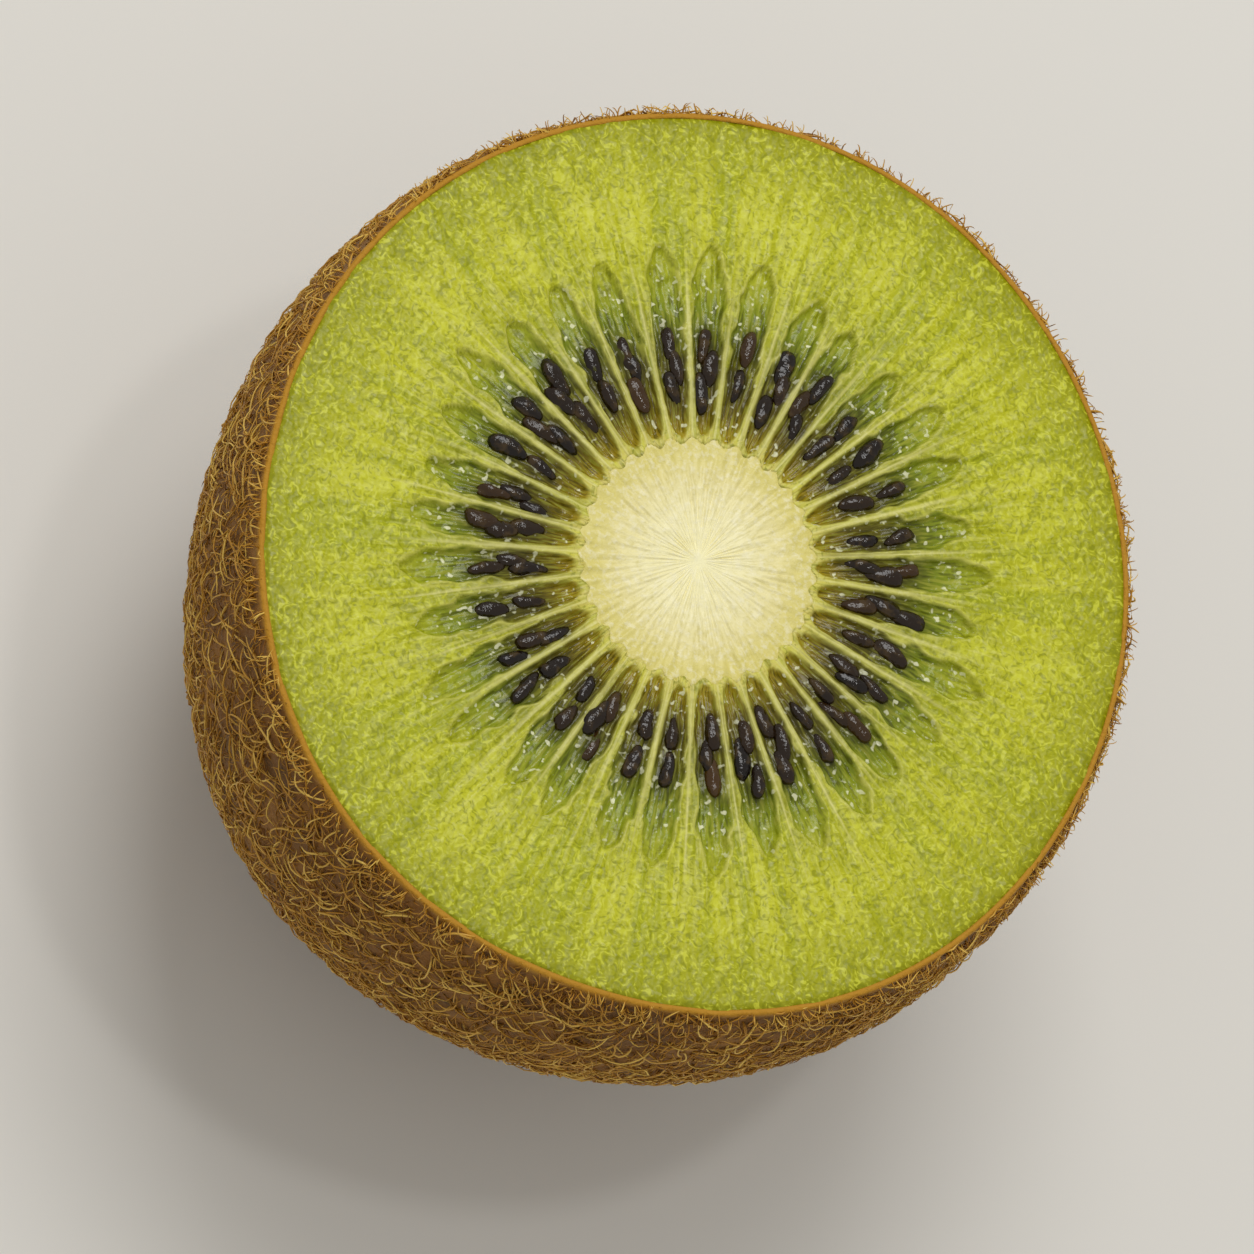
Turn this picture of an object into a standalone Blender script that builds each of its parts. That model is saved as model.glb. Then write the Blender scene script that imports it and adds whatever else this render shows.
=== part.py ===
"""Kiwi fruit half, cut across the middle, lying on its round end with the cut face up.

Run it with: blender --background --python part.py
Metres, +Z up. The origin is the middle of the small flat spot that the half rests on.
"""

import math
import random
from typing import NamedTuple

import bmesh
import bpy
from mathutils import Matrix, Vector

# Driving sizes of the fruit
FACE_WIDTH = 0.0492  # cut face along X
FACE_LENGTH = 0.0520  # cut face along Y
DEPTH = 0.0330  # cut face down to the flat spot
FLATTENED = 0.0008  # how much of the round end the flat spot takes off
BLUNTNESS = 2.3  # 2 would make the outline a plain ellipse
BELLY = 0.076  # how far the fruit swells out just below the cut, as a share of its radius
LUMPS = ((3, 0.004, 0.6), (4, 0.003, 2.1), (5, 0.003, 4.0))  # waves round the fruit, share, phase

# The pale core, as shares of the cut face's radius at each angle
CORE_SHARE = 0.255
CORE_RIBS = 0.03  # the ends of the seed chambers press this far into it, as a share of its radius
CORE_DEPTH = 0.0270
GAP = 0.0003  # between the core and the flesh round it

# The seed chambers, which run outwards from the core
LOCULES = 33
LOCULE_INNER = 0.285  # where a chamber starts and ends, as shares of the face's radius
LOCULE_OUTER = 0.650
LOCULE_DEPTH = 0.0004
LOCULE_FLOOR = 0.5  # the flat part of a chamber's floor, as a share of the room between its walls
LOCULE_ENDS = 0.03  # a chamber's ends slope up over this share of the radius
ANGLE_JITTER = 0.13  # of the spacing between two chambers
LAYOUT_SEED = 11

# The seeds
SEED_LENGTH = 0.0021
SEED_WIDTH = 0.0011
SEED_THICKNESS = 0.0009
SEED_BAND = (0.375, 0.505)  # where the seeds' middles lie, as shares of the face's radius
SEED_SUNK = (0.00002, 0.0002)  # a seed's middle lies between these depths below the cut
SEED_SIDE = 0.00022  # three seeds in a row lie this far to either side
THIRD_SEED = 0.45  # share of the chambers that have a third seed

# How much chambers and seeds vary, each drawn evenly between two ends
INNER_SPREAD = (0.0, 0.01)
OUTER_SPREAD = (-0.04, 0.035)
ROW_SPREAD = (-0.012, 0.012)  # a chamber's row of seeds, along the radius
SEED_SPREAD = (-0.006, 0.006)  # a seed in its row
SIDE_SPREAD = (-0.0001, 0.0001)
TURN_SPREAD = (-0.2, 0.2)  # radians
ROLL_SPREAD = (-0.5, 0.5)
SCALE_SPREAD = (0.86, 1.1)

# The dried calyx in the round end
DIMPLE_RADIUS = 0.0042
DIMPLE_DEPTH = 0.0013
SCAR_RADIUS = 0.0014
SCAR_CLEAR = 0.0004  # the stalk's scar stays this far above the floor
SEPALS = 5
SEPAL_LENGTH = 0.0032
SEPAL_WIDTH = 0.0019
SEPAL_THICKNESS = 0.0008
SEPAL_REACH = 0.0026

# Mesh fineness
DIMPLE_RINGS = 3
SIDE_RINGS = 11
FACE_SHARES = (0.85, 0.69, 0.63, 0.55, 0.45, 0.33, 0.30)  # rings on the cut face
CORE_RINGS = 5
SEED_MESH = (6, 4)
SEPAL_MESH = (6, 4)
SCAR_SEGMENTS = 12
SMOOTH_BELOW = math.radians(40)

FLESH_COLOUR = (0.42, 0.44, 0.035, 1.0)
CORE_COLOUR = (0.86, 0.79, 0.44, 1.0)
FLESH_ROUGHNESS = 0.35
CORE_ROUGHNESS = 0.5


class Seed(NamedTuple):
    share: float  # of the face's radius
    side: float
    sunk: float
    turn: float
    roll: float
    scale: float


class Locule(NamedTuple):
    angle: float
    inner: float
    outer: float
    seeds: list


def clear_scene():
    for obj in list(bpy.data.objects):
        bpy.data.objects.remove(obj, do_unlink=True)


def new_collection(name):
    collection = bpy.data.collections.new(name)
    bpy.context.scene.collection.children.link(collection)
    return collection


def material(name, colour, roughness):
    made = bpy.data.materials.new(name)
    made.use_nodes = True
    shader = made.node_tree.nodes["Principled BSDF"]
    shader.inputs["Base Color"].default_value = colour
    shader.inputs["Roughness"].default_value = roughness
    shader.inputs["Metallic"].default_value = 0.0
    return made


def body_share(depth_share):
    """Radius at a share of the depth below the cut: a blunt half oval that is widest just below the cut."""
    oval = max(0.0, 1.0 - depth_share**BLUNTNESS) ** (1.0 / BLUNTNESS)
    return oval + BELLY * math.sin(math.pi * depth_share) * (1.0 - depth_share)


def face_point(share, angle, height=DEPTH):
    """A point at a share of the cut face's radius, on the slightly uneven oval that the fruit is."""
    lump = sum(size * math.cos(waves * angle + phase) for waves, size, phase in LUMPS)
    uneven = share * (1.0 + lump * min(1.0, share) ** 2)
    x = uneven * FACE_WIDTH / 2 * math.cos(angle)
    y = uneven * FACE_LENGTH / 2 * math.sin(angle)
    return Vector((x, y, height))


def add_object(name, bm, collection):
    mesh = bpy.data.meshes.new(name)
    bm.to_mesh(mesh)
    bm.free()
    obj = bpy.data.objects.new(name, mesh)
    collection.objects.link(obj)
    return obj


def locule_layout():
    """Each chamber's angle, its two ends and its seeds. The draws start from a fixed number."""
    draw = random.Random(LAYOUT_SEED)
    locules = []
    for index in range(LOCULES):
        angle = (index + 0.5 + draw.uniform(-ANGLE_JITTER, ANGLE_JITTER)) * math.tau / LOCULES
        inner = LOCULE_INNER + draw.uniform(*INNER_SPREAD)
        outer = LOCULE_OUTER + draw.uniform(*OUTER_SPREAD)
        count = 3 if draw.random() < THIRD_SEED else 2
        shift = draw.uniform(*ROW_SPREAD)
        side = draw.choice((-1.0, 1.0)) * SEED_SIDE * (count - 2)
        seeds = []
        for number in range(count):
            along = (number + 0.3) / (count - 0.4)
            share = SEED_BAND[0] + along * (SEED_BAND[1] - SEED_BAND[0]) + shift
            seeds.append(Seed(
                share=share + draw.uniform(*SEED_SPREAD),
                side=side + draw.uniform(*SIDE_SPREAD),
                sunk=draw.uniform(*SEED_SUNK),
                turn=draw.uniform(*TURN_SPREAD),
                roll=draw.uniform(*ROLL_SPREAD),
                scale=draw.uniform(*SCALE_SPREAD),
            ))
            side = -side
        locules.append(Locule(angle, inner, outer, seeds))
    return locules


def side_angles(locules):
    """(angle, locule or None) of each of the fruit's sides: for each chamber a wall, then its floor's edges."""
    angles = []
    for index, locule in enumerate(locules):
        before = locules[index - 1].angle - (math.tau if index == 0 else 0.0)
        after = locules[(index + 1) % LOCULES].angle + (math.tau if index == LOCULES - 1 else 0.0)
        wall = (before + locule.angle) / 2
        next_wall = (locule.angle + after) / 2
        angles.append((wall, None))
        angles.append((locule.angle + (wall - locule.angle) * LOCULE_FLOOR, locule))
        angles.append((locule.angle + (next_wall - locule.angle) * LOCULE_FLOOR, locule))
    return angles


def sunk_in_locule(locule, share):
    """How far a point of a chamber's floor lies below the cut, at a share of the face's radius."""
    if locule is None:
        return 0.0
    from_ends = min(share - locule.inner, locule.outer - share)
    return LOCULE_DEPTH * min(1.0, max(0.0, from_ends / LOCULE_ENDS))


def core_share(angle, clearance):
    """The core's radius at an angle: its ribs reach out between the chambers."""
    share = CORE_SHARE * (1.0 - CORE_RIBS * math.cos(LOCULES * (angle - math.pi / LOCULES)))
    return share + clearance / face_point(1.0, angle, 0.0).length


def core_profile(angle, clearance):
    """(share, height) down the core's side, from the cut face to the point of its spindle."""
    steps = [step / CORE_RINGS * math.pi / 2 for step in range(CORE_RINGS + 1)]
    share, depth = core_share(angle, clearance), CORE_DEPTH + clearance
    return [(share * math.cos(step), DEPTH - depth * math.sin(step)) for step in steps]


def flesh_profile(angle, locule):
    """(share, height) from the middle of the dimple, up the fruit's side and across the cut into the hollow."""
    dimple_share = DIMPLE_RADIUS / (FACE_WIDTH / 2)
    steps = [step / DIMPLE_RINGS * math.pi / 2 for step in range(DIMPLE_RINGS + 1)]
    points = [(dimple_share * math.sin(step), DIMPLE_DEPTH * math.cos(step)) for step in steps]
    flat_from = DEPTH / (DEPTH + FLATTENED)
    low = math.asin(flat_from)
    for step in range(SIDE_RINGS + 1):
        depth_share = math.sin(low * (1.0 - step / SIDE_RINGS))
        points.append((body_share(depth_share), DEPTH - depth_share * (DEPTH + FLATTENED)))
    for share in FACE_SHARES:
        points.append((share, DEPTH - sunk_in_locule(locule, share)))
    return points + core_profile(angle, GAP)


def add_turned(name, profiles, angles, collection):
    """A closed body with one profile at each angle, made from a sphere whose rings take the profiles' points.

    A profile runs up the outside. Its first and last points are the two poles, which all profiles share.
    """
    rings = len(profiles[0]) - 1
    bm = bmesh.new()
    bmesh.ops.create_uvsphere(bm, u_segments=len(profiles), v_segments=rings, radius=1.0)
    for vert in bm.verts:
        ring = round(math.acos(max(-1.0, min(1.0, -vert.co.z))) / math.pi * rings)
        side = round(math.atan2(vert.co.y, vert.co.x) / math.tau * len(profiles)) % len(profiles)
        share, height = profiles[side][ring]
        vert.co = face_point(share, angles[side], height)
    return add_object(name, bm, collection)


def add_flesh(locules, collection):
    """Skin and flesh, grown together, with a trough for each chamber and the hollow that the core fills."""
    sides = side_angles(locules)
    profiles = [flesh_profile(angle, locule) for angle, locule in sides]
    return add_turned("flesh", profiles, [angle for angle, _ in sides], collection)


def add_core(collection):
    """The core, a ribbed half spindle that runs down from the cut."""
    angles = [side * math.tau / (2 * LOCULES) for side in range(2 * LOCULES)]
    middle = (0.0, DEPTH)
    profiles = [[*reversed(core_profile(angle, 0.0)), middle] for angle in angles]
    return add_turned("core", profiles, angles, collection)


def along_x_sphere(segments, rings):
    """A sphere of radius 0.5 whose poles lie on the X axis."""
    bm = bmesh.new()
    turned = Matrix.Rotation(math.pi / 2, 4, "Y")
    bmesh.ops.create_uvsphere(bm, u_segments=segments, v_segments=rings, radius=0.5, matrix=turned)
    return bm


def add_seeds(locules, collection):
    for index, locule in enumerate(locules):
        along = face_point(1.0, locule.angle, 0.0)
        turn = math.atan2(along.y, along.x)
        sideways = Vector((-math.sin(turn), math.cos(turn), 0.0))
        for number, seed in enumerate(locule.seeds):
            bm = along_x_sphere(*SEED_MESH)
            middle = face_point(seed.share, locule.angle, DEPTH - seed.sunk) + sideways * seed.side
            roll = Matrix.Rotation(seed.roll, 4, "X")
            size = Matrix.Diagonal((SEED_LENGTH, SEED_WIDTH, SEED_THICKNESS, 1.0))
            place = Matrix.Translation(middle) @ Matrix.Rotation(turn + seed.turn, 4, "Z") @ roll
            bm.transform(place @ size @ Matrix.Scale(seed.scale, 4))
            add_object(f"seed_{index}_{number}", bm, collection)


def add_calyx(collection):
    """The stalk's scar with dried sepals round it, all inside the dimple."""
    bm = bmesh.new()
    middle = Matrix.Translation((0.0, 0.0, SCAR_CLEAR + DIMPLE_DEPTH / 2))
    bmesh.ops.create_cone(bm, cap_ends=True, segments=SCAR_SEGMENTS, radius1=SCAR_RADIUS,
                          radius2=SCAR_RADIUS, depth=DIMPLE_DEPTH, matrix=middle)
    add_object("scar", bm, collection)
    for index in range(SEPALS):
        bm = along_x_sphere(*SEPAL_MESH)
        roof = DIMPLE_DEPTH * math.sqrt(1.0 - (SEPAL_REACH / DIMPLE_RADIUS) ** 2)
        slope = math.atan2(DIMPLE_DEPTH**2 * SEPAL_REACH, DIMPLE_RADIUS**2 * roof)
        size = Matrix.Diagonal((SEPAL_LENGTH, SEPAL_WIDTH, SEPAL_THICKNESS, 1.0))
        place = Matrix.Translation((SEPAL_REACH, 0.0, roof)) @ Matrix.Rotation(slope, 4, "Y")
        bm.transform(Matrix.Rotation(index * math.tau / SEPALS, 4, "Z") @ place @ size)
        add_object(f"sepal_{index}", bm, collection)


def join_onto(obj, collection):
    """Joins a whole collection onto the object with one Boolean union, and then removes that collection."""
    modifier = obj.modifiers.new("union", "BOOLEAN")
    modifier.operation = "UNION"
    modifier.operand_type = "COLLECTION"
    modifier.collection = collection
    modifier.solver = "MANIFOLD"
    bpy.context.view_layer.objects.active = obj
    bpy.ops.object.modifier_apply(modifier=modifier.name)
    for helper in list(collection.objects):
        bpy.data.objects.remove(helper, do_unlink=True)
    bpy.data.collections.remove(collection)


def keep_outer_shell(obj):
    """Fills the pockets that joined pieces seal: only the shell with the most faces stays."""
    bm = bmesh.new()
    bm.from_mesh(obj.data)
    unseen = set(bm.faces)
    shells = []
    while unseen:
        shell, growing = set(), [unseen.pop()]
        while growing:
            face = growing.pop()
            shell.add(face)
            beside = {other for edge in face.edges for other in edge.link_faces} & unseen
            unseen -= beside
            growing.extend(beside)
        shells.append(shell)
    outer = max(shells, key=len)
    bmesh.ops.delete(bm, geom=[face for face in bm.faces if face not in outer], context="FACES")
    bm.to_mesh(obj.data)
    bm.free()


def finish(obj, made):
    obj.data.materials.clear()
    obj.data.materials.append(made)
    obj.data.shade_smooth()
    obj.data.set_sharp_from_angle(angle=SMOOTH_BELOW)


def main():
    clear_scene()
    fruit = new_collection("kiwi fruit half")
    fused = new_collection("fused")
    locules = locule_layout()

    flesh = add_flesh(locules, fruit)
    add_seeds(locules, fused)
    add_calyx(fused)
    join_onto(flesh, fused)
    keep_outer_shell(flesh)
    finish(flesh, material("green flesh", FLESH_COLOUR, FLESH_ROUGHNESS))

    core = add_core(fruit)
    finish(core, material("pale core", CORE_COLOUR, CORE_ROUGHNESS))


if __name__ == "__main__":
    main()
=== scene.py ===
"""Looks of a kiwi fruit half: wet green cut face with glossy seeds round a cream core, and fuzzy brown skin."""

import math
import random

import bpy
import numpy as np
from bpy.props import FloatProperty, FloatVectorProperty, IntProperty, PointerProperty
from mathutils import Matrix, Vector


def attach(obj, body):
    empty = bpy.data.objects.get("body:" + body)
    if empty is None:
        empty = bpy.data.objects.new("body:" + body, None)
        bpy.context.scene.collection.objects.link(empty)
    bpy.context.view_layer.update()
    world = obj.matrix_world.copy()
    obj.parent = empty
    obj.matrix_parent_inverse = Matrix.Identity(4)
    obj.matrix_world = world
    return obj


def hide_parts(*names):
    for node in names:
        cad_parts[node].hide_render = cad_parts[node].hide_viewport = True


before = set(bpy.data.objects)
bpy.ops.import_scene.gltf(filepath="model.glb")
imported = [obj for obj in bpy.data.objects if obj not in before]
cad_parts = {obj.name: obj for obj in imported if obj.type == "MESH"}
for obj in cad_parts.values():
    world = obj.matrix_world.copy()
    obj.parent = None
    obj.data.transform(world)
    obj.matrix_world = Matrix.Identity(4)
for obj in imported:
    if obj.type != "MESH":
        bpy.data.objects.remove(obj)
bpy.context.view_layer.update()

bl_info = {
    "name": "Kiwi Fruit Half",
    "version": (1, 0, 0),
    "blender": (4, 5, 0),
    "location": "View3D > Sidebar > Kiwi",
    "description": "Builds the cut face, core, seeds, skin, fuzz and dried calyx of half a kiwi fruit",
    "category": "Add Mesh",
}

MM = 0.001

# The same fruit as the frame's solids
DEPTH = 33.0 * MM
FLATTENED = 0.8 * MM
BLUNTNESS = 2.3
BELLY = 0.076
LUMPS = ((3, 0.004, 0.6), (4, 0.003, 2.1), (5, 0.003, 4.0))  # waves round the fruit, share, phase
CORE_SHARE = 0.255
CORE_RIBS = 0.03
CORE_DEPTH = 27.0 * MM
GAP = 0.3 * MM
LOCULES = 33
LOCULE_INNER = 0.285
LOCULE_OUTER = 0.650
LOCULE_DEPTH = 0.4 * MM
ANGLE_JITTER = 0.13
LAYOUT_SEED = 11
SEED_SIZE = (2.1 * MM, 1.1 * MM, 0.9 * MM)
SEED_BAND = (0.375, 0.505)
SEED_SUNK = (0.02 * MM, 0.2 * MM)
SEED_SIDE = 0.22 * MM
THIRD_SEED = 0.45
DIMPLE_RADIUS = 4.2 * MM
DIMPLE_DEPTH = 1.3 * MM
SCAR_RADIUS = 1.4 * MM
SCAR_CLEAR = 0.4 * MM
SEPALS = 5
SEPAL_SIZE = (3.2 * MM, 1.9 * MM, 0.8 * MM)
SEPAL_REACH = 2.6 * MM

# Finer forms that only the visible surface has
WALL_HALF = 0.12 * MM  # half the thickness of the wall between two chambers
LOCULE_HALF = 1.0 * MM  # the most that a chamber reaches to either side of its middle
INNER_REACH = 0.012  # share by which the gel shows nearer to the core than the frame's trough
OUTER_REACH = 0.03  # and further out
SEED_DROP = 0.12 * MM  # the gel holds the seeds by this much lower than the frame's
SEED_SLIMNESS = (0.74, 0.98)  # a seed's width and thickness, as shares of the frame's
GEL_DRAWN = 0.85  # share of its depth by which the gel rises at a seed
FLESH_BOTTOM = 2.6 * MM  # height of the flesh's lowest point, over the dimple
SKIN_THICK = 0.3 * MM
FUZZ_WIDTH = 0.09 * MM
CURL_WIDTH = 0.15 * MM
RIM_HAIR_WIDTH = 0.1 * MM
HAIR_LIMIT = 0.65 * MM  # no hair reaches further than this from the skin
HAIR_FLOOR = 0.12 * MM  # no hair's middle comes nearer to the floor than this

# The camera looks down at the cut face from the photograph's side, with the image turned
VIEW_AZIMUTH = -18.0
VIEW_ELEVATION = 64.0
VIEW_ROLL = 47.0
VIEW_DISTANCE = 0.76
VIEW_LENS = 398.0
VIEW_AIM = 21.0 * MM  # height of the point that the camera looks at

COLOUR_A, COLOUR_B, COLOUR_OUT = 6, 7, 2  # a Mix node's sockets when it mixes colours


def linear(code, alpha=1.0):
    """An sRGB hex colour as the linear colour that shaders take."""
    shares = [int(code[at:at + 2], 16) / 255 for at in (1, 3, 5)]
    return (*[s / 12.92 if s <= 0.04045 else ((s + 0.055) / 1.055) ** 2.4 for s in shares], alpha)


# The fruit's shape


def smooth(low, high, values):
    """0 below low, 1 above high, and t t (3 - 2t) between them."""
    t = np.clip((values - low) / (high - low), 0.0, 1.0)
    return t * t * (3.0 - 2.0 * t)


def wave_noise(points, size, seed, waves=36):
    """A sum of sine waves in random directions, with lengths near size. Its mean is 0 and its spread 1."""
    draw = np.random.default_rng(seed)
    directions = draw.normal(size=(waves, points.shape[-1]))
    directions /= np.linalg.norm(directions, axis=1, keepdims=True)
    lengths = size * draw.uniform(0.7, 1.6, waves)
    phases = draw.uniform(0.0, math.tau, waves)
    total = np.zeros(points.shape[:-1])
    for direction, length, phase in zip(directions, lengths, phases):
        total += np.sin(points @ direction * (math.tau / length) + phase)
    return total / math.sqrt(waves / 2)


def fruit_point(share, angle, height, inset=0.0):
    """x = (s (1 + lumps) W / 2 - inset) cos a, and y likewise: an oval that waves make slightly uneven."""
    sizes = bpy.context.scene.kiwi_sizes
    lump = sum(size * np.cos(waves * angle + phase) for waves, size, phase in LUMPS)
    uneven = share * (1.0 + lump * np.minimum(1.0, share) ** 2)
    x = (uneven * sizes.face_width / 2 - inset) * np.cos(angle)
    y = (uneven * sizes.face_length / 2 - inset) * np.sin(angle)
    return np.stack(np.broadcast_arrays(x, y, height), axis=-1)


def mean_radius():
    """(W + L) / 4: the cut face's radius, as the mean of its two half sizes."""
    sizes = bpy.context.scene.kiwi_sizes
    return (sizes.face_width + sizes.face_length) / 4


def body_share(depth_share):
    """The radius at a share d of the depth: (1 - d^q)^(1/q), and a belly of sin(pi d) (1 - d)."""
    oval = np.maximum(0.0, 1.0 - depth_share**BLUNTNESS) ** (1.0 / BLUNTNESS)
    return oval + BELLY * np.sin(np.pi * depth_share) * (1.0 - depth_share)


def skin_profile(count=480):
    """(run, share, height) down the skin: from the rim over the side and the flat ring into the dimple.

    The side follows body_share, and the dimple is a quarter of an ellipse. Run is the length so far.
    """
    low = math.asin(DEPTH / (DEPTH + FLATTENED))
    depth_share = np.sin(np.linspace(0.0, low, count))
    turn = np.linspace(math.pi / 2, 0.0, count // 4)
    dimple_share = DIMPLE_RADIUS / (bpy.context.scene.kiwi_sizes.face_width / 2)
    share = np.concatenate([body_share(depth_share), dimple_share * np.sin(turn)])
    height = np.concatenate([DEPTH - depth_share * (DEPTH + FLATTENED), DIMPLE_DEPTH * np.cos(turn)])
    steps = np.hypot(np.diff(share) * mean_radius(), np.diff(height))
    return np.concatenate([[0.0], np.cumsum(steps)]), share, height


def skin_at(profile, angle, run):
    """A point of the skin at an angle and a run down from the rim, and the outward normal there.

    The normal is the cross product of the directions down the side and round the fruit.
    """
    def place(at_angle, at_run):
        share = np.interp(at_run, profile[0], profile[1])
        return fruit_point(share, at_angle, np.interp(at_run, profile[0], profile[2]))

    step = 0.15 * MM
    down = place(angle, run + step) - place(angle, run - step)
    round_fruit = place(angle + 0.004, run) - place(angle - 0.004, run)
    normal = np.cross(down, round_fruit)
    return place(angle, run), normal / np.maximum(1e-12, np.linalg.norm(normal, axis=-1, keepdims=True))


# The chambers and seeds


def locule_layout():
    """Each chamber's angle, its two ends and its seeds, drawn in the same order as the frame's."""
    draw = random.Random(LAYOUT_SEED)
    locules = []
    for index in range(LOCULES):
        angle = (index + 0.5 + draw.uniform(-ANGLE_JITTER, ANGLE_JITTER)) * math.tau / LOCULES
        inner = LOCULE_INNER + draw.uniform(0.0, 0.01)
        outer = LOCULE_OUTER + draw.uniform(-0.04, 0.035)
        count = 3 if draw.random() < THIRD_SEED else 2
        shift = draw.uniform(-0.012, 0.012)
        side = draw.choice((-1.0, 1.0)) * SEED_SIDE * (count - 2)
        seeds = []
        for number in range(count):
            along = (number + 0.3) / (count - 0.4)
            share = SEED_BAND[0] + along * (SEED_BAND[1] - SEED_BAND[0]) + shift
            seeds.append({
                "share": share + draw.uniform(-0.006, 0.006),
                "side": side + draw.uniform(-0.0001, 0.0001),
                "sunk": draw.uniform(*SEED_SUNK),
                "turn": draw.uniform(-0.2, 0.2),
                "roll": draw.uniform(-0.5, 0.5),
                "scale": draw.uniform(0.86, 1.1),
            })
            side = -side
        locules.append({"angle": angle, "inner": inner, "outer": outer, "seeds": seeds})
    return locules


def seed_table(locules):
    """Each seed's middle, turn about Z, roll about its length and scale, as arrays."""
    angles = np.array([locule["angle"] for locule in locules for _ in locule["seeds"]])
    values = {key: np.array([seed[key] for locule in locules for seed in locule["seeds"]])
              for key in ("share", "side", "sunk", "turn", "roll", "scale")}
    along = fruit_point(1.0, angles, 0.0)
    outward = np.arctan2(along[:, 1], along[:, 0])
    middle = fruit_point(values["share"], angles, DEPTH - values["sunk"])
    middle[:, 0] -= np.sin(outward) * values["side"]
    middle[:, 1] += np.cos(outward) * values["side"]
    return middle, outward + values["turn"], values["roll"], values["scale"]


def near_seed(points, locules, length, width):
    """1 at a seed, falling off as exp(-(along / length)^2 - (across / width)^2) beside it."""
    closest = np.zeros(points.shape[:-1])
    middles, turns, _, _ = seed_table(locules)
    for middle, turn in zip(middles, turns):
        x, y = points[..., 0] - middle[0], points[..., 1] - middle[1]
        along = x * math.cos(turn) + y * math.sin(turn)
        across = y * math.cos(turn) - x * math.sin(turn)
        closest = np.maximum(closest, np.exp(-((along / length) ** 2) - (across / width) ** 2))
    return closest


def locule_form(share, angle, locules):
    """How much a point is inside a chamber, down its trough, on its outline and on the wall beside it.

    A chamber reaches h = min(half the room less the wall, LOCULE_HALF + noise) (1 - |u|^p)^(1/2) to each
    side of its middle, where u runs from -1 to 1 between its ends. With p = 16 the inner end is blunt, and
    with p = 4 the outer end is round. There the gel also fades into the pulp.
    """
    middles = np.array([locule["angle"] for locule in locules])
    before = np.roll(middles, 1)
    before[0] -= math.tau
    walls = (before + middles) / 2
    turned = (angle - walls[0]) % math.tau + walls[0]
    number = np.clip(np.searchsorted(walls, turned, side="right") - 1, 0, LOCULES - 1)
    after = np.append(walls[1:], walls[0] + math.tau)
    own = middles[number]
    room = np.where(turned < own, own - walls[number], after[number] - own)
    radius = share * mean_radius()
    from_middle = np.abs(turned - own) * radius
    to_wall = room * radius - from_middle

    inner = np.array([locule["inner"] for locule in locules])[number] - INNER_REACH
    outer = np.array([locule["outer"] for locule in locules])[number] + OUTER_REACH
    ends = np.clip(2 * (share - inner) / (outer - inner) - 1, -1.0, 1.0)
    wedge = WALL_HALF * (1.0 + 0.5 * (1 - smooth(0.27, 0.36, share)))
    uneven = 0.11 * MM * wave_noise(polar_of(angle, share) * (26.0, 26.0, 26.0), 1.6, 15)
    power = np.where(ends < 0, 16, 4)
    half = np.minimum(room * radius - wedge, LOCULE_HALF + uneven) * np.sqrt(1.0 - np.abs(ends) ** power)
    inside = smooth(-0.07 * MM, 0.1 * MM, half - from_middle) * (1.0 - 0.6 * smooth(0.54, 0.69, share))
    sunk = smooth(-0.02 * MM, 0.34 * MM, half - from_middle)
    outline = np.exp(-(((from_middle - half) / (0.09 * MM)) ** 2)) * (half > 0.05 * MM)
    thin = 0.075 * MM + 0.025 * MM * np.cos(number * 1.7)
    wall_end = 0.74 + 0.06 * np.sin(number * 3.1)
    wall = np.exp(-((to_wall / thin) ** 2)) * (1 - smooth(wall_end - 0.22, wall_end, share))
    return inside, sunk, outline, wall * smooth(0.26, 0.275, share)


def core_share(angle, clearance=0.0):
    """The core's radius at an angle: s (1 - ribs cos(33 a)), so its ribs reach out between the chambers."""
    share = CORE_SHARE * (1.0 - CORE_RIBS * np.cos(LOCULES * (angle - math.pi / LOCULES)))
    return share + clearance / mean_radius()


# Making meshes and materials


def new_piece(name, points, faces, material, attributes=None):
    """A smooth piece that rides on the fruit, from points, arrays of faces and values on the points."""
    mesh = bpy.data.meshes.new(name)
    points = np.asarray(points, np.float32).reshape(-1, 3)
    mesh.vertices.add(len(points))
    mesh.vertices.foreach_set("co", points.ravel())
    corners = np.concatenate([face.ravel() for face in faces]).astype(np.int32)
    counts = np.concatenate([np.full(len(face), face.shape[1]) for face in faces])
    mesh.loops.add(len(corners))
    mesh.loops.foreach_set("vertex_index", corners)
    mesh.polygons.add(len(counts))
    mesh.polygons.foreach_set("loop_start", (np.cumsum(counts) - counts).astype(np.int32))
    mesh.update(calc_edges=True)
    mesh.validate()
    mesh.shade_smooth()
    for label, values in (attributes or {}).items():
        is_vector = values.shape[-1] == 3
        layer = mesh.attributes.new(label, "FLOAT_VECTOR" if is_vector else "FLOAT", "POINT")
        layer.data.foreach_set("vector" if is_vector else "value", np.asarray(values, np.float32).ravel())
    mesh.materials.append(material)
    piece = bpy.data.objects.new(name, mesh)
    bpy.context.scene.collection.objects.link(piece)
    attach(piece, "root")
    return piece


def turned_faces(rings, sides):
    """Quads between rings of points, and a fan to the point before the first and after the last of them.

    The points are the rings in order, then those two end points.
    """
    ring, side = np.meshgrid(np.arange(rings - 1), np.arange(sides), indexing="ij")
    beside = (side + 1) % sides
    quads = np.stack([ring * sides + side, ring * sides + beside,
                      (ring + 1) * sides + beside, (ring + 1) * sides + side], axis=-1).reshape(-1, 4)
    around = np.arange(sides)
    next_around = (around + 1) % sides
    last = (rings - 1) * sides
    start = np.stack([np.full(sides, rings * sides), next_around, around], axis=-1)
    end = np.stack([np.full(sides, rings * sides + 1), last + around, last + next_around], axis=-1)
    return [quads, start, end]


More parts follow.
